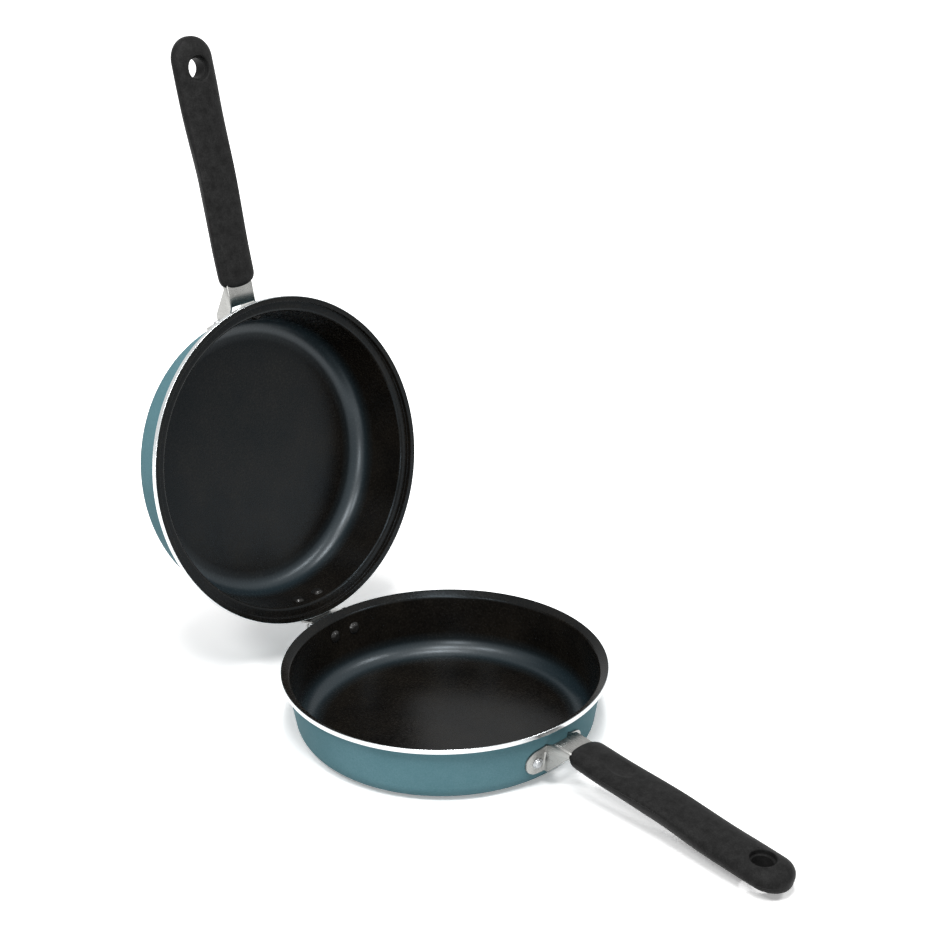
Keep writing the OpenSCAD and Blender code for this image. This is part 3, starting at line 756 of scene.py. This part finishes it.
    def rivets(self, at_hinge: bool, metal: bpy.types.Material, coated: bpy.types.Material) -> bpy.types.Object:
        """Makes the two rivets of the hinge leaf or of the handle bracket.

        Args:
            at_hinge: whether they hold the hinge leaf.
            metal: finish of the shank and the outer head.
            coated: finish of the domed head inside the pan.

        Returns:
            Both rivets as one piece.
        """
        inner, head_r = -self.sheet - self.rivet_gap, self.inner_head_r
        crown, side_bend = self.inner_head_bends
        dome = [(0, inner - self.inner_head_h, 0),
                (head_r * self.inner_head_flat, inner - self.inner_head_h, crown),
                (head_r, inner - self.inner_head_side, side_bend), (head_r, inner, 0), (self.rivet_r, inner, 0)]
        if at_hinge:
            stack, y, z, head = self.hinge_stack, self.hinge_rivet_y, -self.hinge_rivet_drop, self.hinge_head
        else:
            stack, y, z, head = self.bracket_stack, self.ear_y, self.ear_rise - FRAMES.depth, self.bracket_head
        shank_and_head = [(r, h + stack, bend) for r, h, bend in ((self.rivet_r, 0, 0), *head)]
        points = subdivided(outline(dome + shank_and_head), self.rivet_longest)
        zones = [int((a[1] + b[1]) / 2 > inner) for a, b in zip(points, points[1:])]
        kind, half = ("hinge" if at_hinge else "bracket"), self.half.value.split("_")[0]
        seats = [self.seat(side * y, z, at_hinge) for side in (1, -1)]
        piece = turned(f"{half}_{kind}_rivets", points, zones, seats, [coated, metal], self.rivet_turns)
        smooth_by_angle(piece.data, self.rivet_smooth_angle)
        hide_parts(f"{half}_{kind}_rivet_left", f"{half}_{kind}_rivet_right")
        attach(piece, self.half.value)
        log.info("%s: %d faces", piece.name, len(piece.data.polygons))
        return piece


# ---------------------------------------------------------------- grips


@dataclass
class Grip:
    """A moulded grip, in its handle's frame in millimetres: web face at z = 0, near edge at x = 0.

    Keys pair a share of the grip's length with a height or a width. Powers shape the rounded ends
    and the crown, 2 being a circle and more being squarer.
    """

    half: Half
    node: str
    drop: float
    tilt: float
    web_x: float = 124.0
    start: float = 13.0
    end: float = 205.0
    half_w: float = 17.3
    nose_len: float = 11.0
    mid_z: float = -6.0
    crease_step: float = 0.9
    face_keys: tuple[Point, ...] = ((0, 2.4), (0.12, 3.0), (0.92, 3.0), (1, 1.5))
    crease_keys: tuple[Point, ...] = ((0, -2), (0.15, -2.6), (0.43, -0.8), (0.75, -5.4), (1, -6))
    belly_keys: tuple[Point, ...] = (
        (0, -13.5), (0.2, -15), (0.42, -16.3), (0.6, -17.4), (0.8, -16.4), (1, -15))
    girth_keys: tuple[Point, ...] = ((0, 0.94), (0.42, 0.94), (0.84, 1.03), (1, 1.03))
    # powers at the nose and at the far end, in plan and in height, and of the crown across and up
    plan_powers: Point = (2.6, 2.0)
    height_powers: Point = (4.0, 3.2)
    crown_powers: Point = (0.9, 0.85)
    # thumb recess
    thumb_x: float = 52.0
    thumb_depth: float = 1.4
    thumb_half_w: float = 7.5
    thumb_to_nose: float = 18.0
    thumb_to_end: float = 13.0
    thumb_power: float = 0.5
    thumb_fade: float = 0.6
    # hanging hole with its ring, and the hole for the screw
    face_h: float = 3.0
    hang_from_end: float = 24.0
    hang_r: float = 7.5
    hang_bore_r: float = 9.2
    hang_ring_drop: float = 4.5
    hang_ring_h: float = 10.0
    hang_ring_bend: float = 0.5
    hang_corner_bend: float = 0.2
    hang_soft: float = 1.1
    hang_soft_bend: float = 1.2
    hang_under: Point = (-17.5, 3.0)
    screw_from_start: float = 38.0
    screw_hole: tuple[Corner, ...] = (
        (0, -40, 0), (6.5, -40, 0), (4.5, -15.6, 0.6), (4.5, -9, 0.3), (0, -9, 0))
    cutter_low: float = -40.0
    cutter_rise: float = 6.0
    cutter_flare: float = 12.0
    # socket for the folded channel and the tang
    socket_half_w: float = 12.75
    socket_depth: float = 5.75
    socket_len: float = 5.75
    socket_rise: float = 0.25
    # fineness of the mesh; the tips say how far from either end the first section lies, in steps
    nose_steps: int = 12
    nose_tip: float = 0.15
    end_steps: int = 16
    end_tip: float = 0.1
    shaft_steps: int = 110
    face_steps: int = 40
    belly_steps: int = 28
    cutter_turns: int = 96
    smooth_angle: float = 38.0

    def keyed(self, x: float, keys: Sequence[Point]) -> float:
        """Smoothly blends between values keyed by share of the grip's length.

        Args:
            x: the place along the grip.
            keys: share and value, in order.

        Returns:
            The value at x.
        """
        share = (x - self.start) / (self.end - self.start)
        if share <= keys[0][0]:
            return keys[0][1]
        for (s0, z0), (s1, z1) in zip(keys, keys[1:]):
            if share <= s1:
                return z0 + (z1 - z0) * smooth_step((share - s0) / (s1 - s0))
        return keys[-1][1]

    def end_share(self, share: float, power: float) -> float:
        """Share of the full size left at a share of the way in from a rounded end."""
        return 1.0 if share >= 1 else (1 - (1 - max(share, 0.0)) ** power) ** (1 / power)

    def round_share(self, x: float, powers: Point) -> float:
        """Share of the full size left near the grip's two rounded ends."""
        return (self.end_share((x - self.start) / self.nose_len, powers[0])
                * self.end_share((self.end - x) / self.half_w, powers[1]))

    def thumb_dip(self, x: float, y: float) -> float:
        """Finds the depth of the thumb recess.

        Args:
            x: the place along the grip.
            y: the place across it.

        Returns:
            The depth below the crowned face.
        """
        run = (x - self.thumb_x) / (self.thumb_to_nose if x < self.thumb_x else self.thumb_to_end)
        inside = max(0.0, 1 - run * run - (y / self.thumb_half_w) ** 2)
        return self.thumb_depth * inside ** (self.thumb_power + self.thumb_fade * max(0.0, -run))

    def ring(self, x: float) -> list[Vector]:
        """Makes one closed section of the grip: crowned face, crease step and full underside.

        Args:
            x: the place along the grip.

        Returns:
            The section's points, in metres.
        """
        plan, full = self.round_share(x, self.plan_powers), self.round_share(x, self.height_powers)
        w, step = self.half_w * self.keyed(x, self.girth_keys) * plan, self.crease_step * plan
        face, crease, belly = (self.mid_z + (self.keyed(x, keys) - self.mid_z) * full
                               for keys in (self.face_keys, self.crease_keys, self.belly_keys))
        across, up = self.crown_powers
        points = []
        for i in range(self.face_steps + 1):
            a = math.pi * i / self.face_steps
            y = w * math.copysign(abs(math.cos(a)) ** across, math.cos(a))
            z = crease + (face - crease) * max(0.0, math.sin(a)) ** up - self.thumb_dip(x, y)
            points.append(Vector((x, y, z)) * MM)
        for i in range(self.belly_steps + 1):
            a = math.pi + math.pi * i / self.belly_steps
            z = crease - step + (crease - step - belly) * math.sin(a)
            points.append(Vector((x, (w - step) * math.cos(a), z)) * MM)
        return points

    def stations(self) -> list[float]:
        """Chooses the places along the grip where sections are cut, closer at both ends.

        Returns:
            The places in order.
        """
        nose = [self.start + self.nose_len * (1 - math.cos(math.pi / 2 * (i + self.nose_tip) / self.nose_steps))
                for i in range(self.nose_steps)]
        far = [self.end - self.half_w * (1 - math.cos(math.pi / 2 * (i + self.end_tip) / self.end_steps))
               for i in range(self.end_steps)]
        first, last = self.start + self.nose_len, self.end - self.half_w
        middle = [first + (last - first) * i / self.shaft_steps for i in range(self.shaft_steps + 1)]
        return nose + middle + far[::-1]

    def body_mesh(self) -> bpy.types.Mesh:
        """Lofts the grip without its holes.

        Returns:
            The closed mesh.
        """
        bm = bmesh.new()
        rings = [[bm.verts.new(p) for p in self.ring(x)] for x in self.stations()]
        count = len(rings[0])
        for a, b in zip(rings, rings[1:]):
            for j in range(count):
                bm.faces.new((a[j], b[j], b[(j + 1) % count], a[(j + 1) % count]))
        bm.faces.new(rings[0])
        bm.faces.new(rings[-1][::-1])
        bmesh.ops.recalc_face_normals(bm, faces=bm.faces)
        mesh = bpy.data.meshes.new("grip")
        bm.to_mesh(mesh)
        bm.free()
        return mesh

    def hang_profile(self) -> list[Point]:
        """Outline of the hanging hole: soft rims on both faces and a narrower ring between them.

        Returns:
            Points of radius and height, from below the grip to above it.
        """
        ring_r, bore_r, flare_r = self.hang_r, self.hang_bore_r, self.hang_bore_r + self.cutter_flare
        top, high = self.face_h - self.hang_ring_drop, self.face_h + self.cutter_rise
        low = top - self.hang_ring_h
        return outline([
            (0, self.cutter_low, 0), (flare_r, self.cutter_low, 0), (bore_r, *self.hang_under),
            (bore_r, low, 0), (ring_r, low, self.hang_ring_bend), (ring_r, top, self.hang_ring_bend),
            (bore_r, top, self.hang_corner_bend), (bore_r, self.face_h - self.hang_soft, self.hang_soft_bend),
            (flare_r, high, 0), (0, high, 0)])

    def cutter(self, name: str, profile: Sequence[Point], x: float,
               material: bpy.types.Material) -> bpy.types.Object:
        """Makes a turned cutter that stands on the grip's long axis.

        Args:
            name: the cutter's name.
            profile: its outline of radius and height.
            x: the place along the grip.
            material: the finish of the faces that it leaves.

        Returns:
            The cutter.
        """
        zones = [0] * (len(profile) - 1)
        return turned(name, profile, zones, [Matrix.Translation((x * MM, 0, 0))], [material], self.cutter_turns)

    def socket_cutter(self) -> bpy.types.Object:
        """Makes the block that opens the grip for the folded channel and the tang.

        Returns:
            The cutter.
        """
        low = (0.0, -self.socket_half_w, -self.socket_depth)
        high = (self.start + self.socket_len, self.socket_half_w, self.socket_rise)
        bm = bmesh.new()
        for v in bmesh.ops.create_cube(bm, size=1.0)["verts"]:
            v.co = Vector([(low[i] if v.co[i] < 0 else high[i]) * MM for i in range(3)])
        mesh = bpy.data.meshes.new("socket")
        bm.to_mesh(mesh)
        bm.free()
        return new_object("socket_cutter", mesh, [])

    def build(self, material: bpy.types.Material) -> bpy.types.Object:
        """Builds the grip over its CAD node.

        Args:
            material: the moulding's finish.

        Returns:
            The grip.
        """
        grip = new_object(f"{self.node}_moulding", self.body_mesh(), [material])
        hang_x, screw_x = self.end - self.hang_from_end, self.start + self.screw_from_start
        cutters = [self.cutter("hang_cutter", self.hang_profile(), hang_x, material),
                   self.cutter("screw_cutter", outline(self.screw_hole), screw_x, material),
                   self.socket_cutter()]
        for cutter in cutters:
            cut = grip.modifiers.new(cutter.name, "BOOLEAN")
            cut.operation, cut.solver, cut.object = "DIFFERENCE", "EXACT", cutter
        settle(grip)
        for cutter in cutters:
            bpy.data.objects.remove(cutter)
        placed(grip.data, FRAMES.handle(self.half, self.drop, self.tilt, self.web_x))
        smooth_by_angle(grip.data, self.smooth_angle)
        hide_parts(self.node)
        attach(grip, self.half.value)
        log.info("%s: %d faces", grip.name, len(grip.data.polygons))
        return grip


# ---------------------------------------------------------------- sheet metal, pin and screws


@dataclass
class CrispNode:
    """A CAD node shown by a welded copy with small rounded edges, so that its edges catch the light."""

    node: str
    half: Half
    slot: str
    edge_mm: float = 0.25
    segments: int = 2
    flat_angle: float = 1.0
    edge_angle: float = 50.0
    smooth_angle: float = 30.0

    def build(self, material: bpy.types.Material) -> bpy.types.Object:
        """Copies, welds and bevels the node.

        Args:
            material: its finish.

        Returns:
            The dressed piece.
        """
        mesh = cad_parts[self.node].data.copy()
        bm = bmesh.new()
        bm.from_mesh(mesh)
        bmesh.ops.remove_doubles(bm, verts=bm.verts, dist=WELD)
        bmesh.ops.dissolve_limit(bm, angle_limit=math.radians(self.flat_angle), verts=bm.verts, edges=bm.edges)
        bm.to_mesh(mesh)
        bm.free()
        mesh.materials.clear()
        piece = new_object(f"{self.node}_finished", mesh, [material])
        bevel = piece.modifiers.new("edges", "BEVEL")
        bevel.width, bevel.segments = self.edge_mm * MM, self.segments
        bevel.limit_method, bevel.angle_limit = "ANGLE", math.radians(self.edge_angle)
        bevel.use_clamp_overlap = True
        settle(piece)
        smooth_by_angle(piece.data, self.smooth_angle)
        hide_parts(self.node)
        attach(piece, self.half.value)
        log.info("%s: %d faces", piece.name, len(piece.data.polygons))
        return piece


# ---------------------------------------------------------------- floor, light and camera


@dataclass(frozen=True)
class Lamp:
    """One soft square lamp: its place and side in metres, and its power in watts."""

    name: str
    place: Triple
    side: float
    watts: float

    def build(self, aim: Triple) -> None:
        """Hangs the lamp.

        Args:
            aim: the point it faces.
        """
        data = bpy.data.lights.new(self.name, "AREA")
        data.shape, data.size, data.energy = "SQUARE", self.side, self.watts
        lamp = bpy.data.objects.new(self.name, data)
        lamp.location = self.place
        lamp.rotation_euler = (Vector(aim) - Vector(self.place)).to_track_quat("-Z", "Y").to_euler()
        bpy.context.scene.collection.objects.link(lamp)


@dataclass
class Studio:
    """White ground, soft lamps and the camera that the photograph was taken with.

    The camera's numbers come from a fit to both rims. The lamps stand where their reflections fall
    on the bright arcs of both pans' corners.
    """

    # camera
    focal_px: float = 2303.43
    frame_px: float = 938.0
    eye_mm: Triple = (1094.27, -1028.12, 890.18)
    right: Triple = (0.69889317, 0.71509508, -0.01368773)
    down: Triple = (0.28638609, -0.2973314, -0.9108112)
    sensor_mm: float = 36.0
    clip_m: Point = (0.05, 60.0)
    # ground: it glows where it is seen, least round the object, so that only the shadow there shows
    ground_m: float = 14.0
    ground_drop_mm: float = 0.2
    paper: str = "c4c4c4"
    veil: str = "d0d0d0"
    near_glow: float = 0.15
    far_glow: float = 1.1
    shadow_middle: Triple = (0.1, -0.05, 0.0)
    shadow_reach: Point = (0.24, 0.75)
    # light
    sky_strength: float = 0.15
    lamp_aim: Triple = (-0.1, 0.0, 0.15)
    lamps: tuple[Lamp, ...] = (
        Lamp("front", (1.3, -1.75, 1.0), 0.45, 15.0), Lamp("high_front", (0.82, -0.77, 1.87), 0.5, 20.0),
        Lamp("high_left", (0.1, -1.3, 1.7), 0.4, 11.0), Lamp("overhead", (0.15, -0.05, 2.1), 0.45, 16.0),
        Lamp("right", (1.2, 0.75, 1.6), 0.4, 11.0))

    def camera(self) -> None:
        """Adds the camera fitted to the photograph."""
        data = bpy.data.cameras.new("camera")
        data.sensor_width = self.sensor_mm
        data.lens = self.focal_px / self.frame_px * data.sensor_width
        data.clip_start, data.clip_end = self.clip_m
        right, down = Vector(self.right).normalized(), Vector(self.down)
        down = (down - right * down.dot(right)).normalized()
        forward = right.cross(down)
        camera = bpy.data.objects.new("camera", data)
        axes = Matrix((right, -down, -forward)).transposed()
        camera.matrix_world = Matrix.Translation(Vector(self.eye_mm) * MM) @ axes.to_4x4()
        bpy.context.scene.collection.objects.link(camera)
        bpy.context.scene.camera = camera

    def background_ray(self, tree: bpy.types.NodeTree) -> Socket:
        """Tells the rays that see the background from those that light the object.

        Args:
            tree: the material's or the world's node tree.

        Returns:
            1 for camera, glossy and transmission rays, otherwise 0.
        """
        path = add_node(tree, "ShaderNodeLightPath").outputs
        seen = add_node(tree, "ShaderNodeMath", {0: path["Is Camera Ray"], 1: path["Is Glossy Ray"]},
                        operation="MAXIMUM")
        return add_node(tree, "ShaderNodeMath", {0: seen.outputs[0], 1: path["Is Transmission Ray"]},
                        operation="MAXIMUM").outputs[0]

    def ground_material(self) -> bpy.types.Material:
        """Makes the ground's paper, which is white where it is seen and keeps the object's shadow.

        Returns:
            The material.
        """
        material = bpy.data.materials.new("white_ground")
        material.use_nodes = True
        tree = material.node_tree
        tree.nodes.clear()
        paper = add_node(tree, "ShaderNodeBsdfDiffuse", {"Color": linear(self.paper)})
        where = add_node(tree, "ShaderNodeTexCoord")
        away = add_node(tree, "ShaderNodeVectorMath", {
            0: where.outputs["Object"], 1: self.shadow_middle}, operation="DISTANCE")
        glow = add_node(tree, "ShaderNodeMapRange", {
            "Value": away.outputs["Value"], "From Min": self.shadow_reach[0], "From Max": self.shadow_reach[1],
            "To Min": self.near_glow, "To Max": self.far_glow})
        veil = add_node(tree, "ShaderNodeBsdfDiffuse", {"Color": linear(self.veil)})
        white = add_node(tree, "ShaderNodeEmission", {"Color": linear("ffffff"), "Strength": glow.outputs[0]})
        layers = add_node(tree, "ShaderNodeAddShader", {0: veil.outputs[0], 1: veil.outputs[0]})
        seen = add_node(tree, "ShaderNodeAddShader", {0: layers.outputs[0], 1: white.outputs[0]})
        choice = add_node(tree, "ShaderNodeMixShader", {
            0: self.background_ray(tree), 1: paper.outputs[0], 2: seen.outputs[0]})
        add_node(tree, "ShaderNodeOutputMaterial", {"Surface": choice.outputs[0]})
        return material

    def floor(self) -> None:
        """Adds the ground, a hair below the base so that the two faces don't share a plane."""
        bm = bmesh.new()
        bmesh.ops.create_grid(bm, x_segments=2, y_segments=2, size=self.ground_m,
                              matrix=Matrix.Translation((0, 0, -self.ground_drop_mm * MM)))
        mesh = bpy.data.meshes.new("ground")
        bm.to_mesh(mesh)
        bm.free()
        ground = new_object("ground", mesh, [self.ground_material()])

    def world(self) -> None:
        """Sets an even sky that is plain white where it is seen."""
        world = bpy.data.worlds.new("studio")
        bpy.context.scene.world = world
        world.use_nodes = True
        tree = world.node_tree
        tree.nodes.clear()
        dim = add_node(tree, "ShaderNodeBackground", {"Color": linear("ffffff"), "Strength": self.sky_strength})
        white = add_node(tree, "ShaderNodeBackground", {"Color": linear("ffffff"), "Strength": 1.0})
        choice = add_node(tree, "ShaderNodeMixShader", {
            0: self.background_ray(tree), 1: dim.outputs[0], 2: white.outputs[0]})
        add_node(tree, "ShaderNodeOutputWorld", {"Surface": choice.outputs[0]})

    def build(self) -> None:
        """Builds floor, sky, lamps and camera."""
        self.floor()
        self.world()
        for lamp in self.lamps:
            lamp.build(self.lamp_aim)
        self.camera()
        bpy.context.scene.view_settings.view_transform = "Standard"


def main() -> None:
    """Builds the object's looks piece by piece."""
    logging.basicConfig(level=logging.INFO, format="%(name)s %(message)s")
    coating, edge, enamel, base = (f.build() for f in (NON_STICK, TURNED_EDGE, ENAMEL, TURNED_BASE))
    steel, rivet, coated, plated, phenolic = (
        f.build() for f in (BRUSHED_STEEL, RIVET_METAL, COATED_RIVET, PLATED_STEEL, PHENOLIC))
    for pan in (Pan(Half.LOWER, "lower_pan", stepped=False, hinge_rivet_drop=16.0, ear_rise=22.5),
                Pan(Half.UPPER, "upper_pan", stepped=True, hinge_rivet_drop=14.5, ear_rise=18.0)):
        pan.build([coating, edge, enamel, base])
        pan.rivets(True, rivet, coated)
        pan.rivets(False, rivet, coated)
    Grip(Half.LOWER, "lower_handle_grip", drop=11.0, tilt=6.0).build(phenolic)
    Grip(Half.UPPER, "upper_handle_grip", drop=20.0, tilt=-0.5).build(phenolic)
    for name, half in (("lower", Half.LOWER), ("upper", Half.UPPER)):
        CrispNode(f"{name}_handle_bracket", half, "stamped_steel").build(steel)
        CrispNode(f"{name}_hinge_leaf", half, "stamped_steel").build(steel)
        CrispNode(f"{name}_handle_screw", half, "screw_steel", edge_mm=0.15).build(plated)
    for node in ("hinge_pin", "hinge_pin_washer"):
        CrispNode(node, Half.LOWER, "screw_steel", edge_mm=0.12).build(plated)
    Studio().build()


if __name__ == "__main__":
    main()
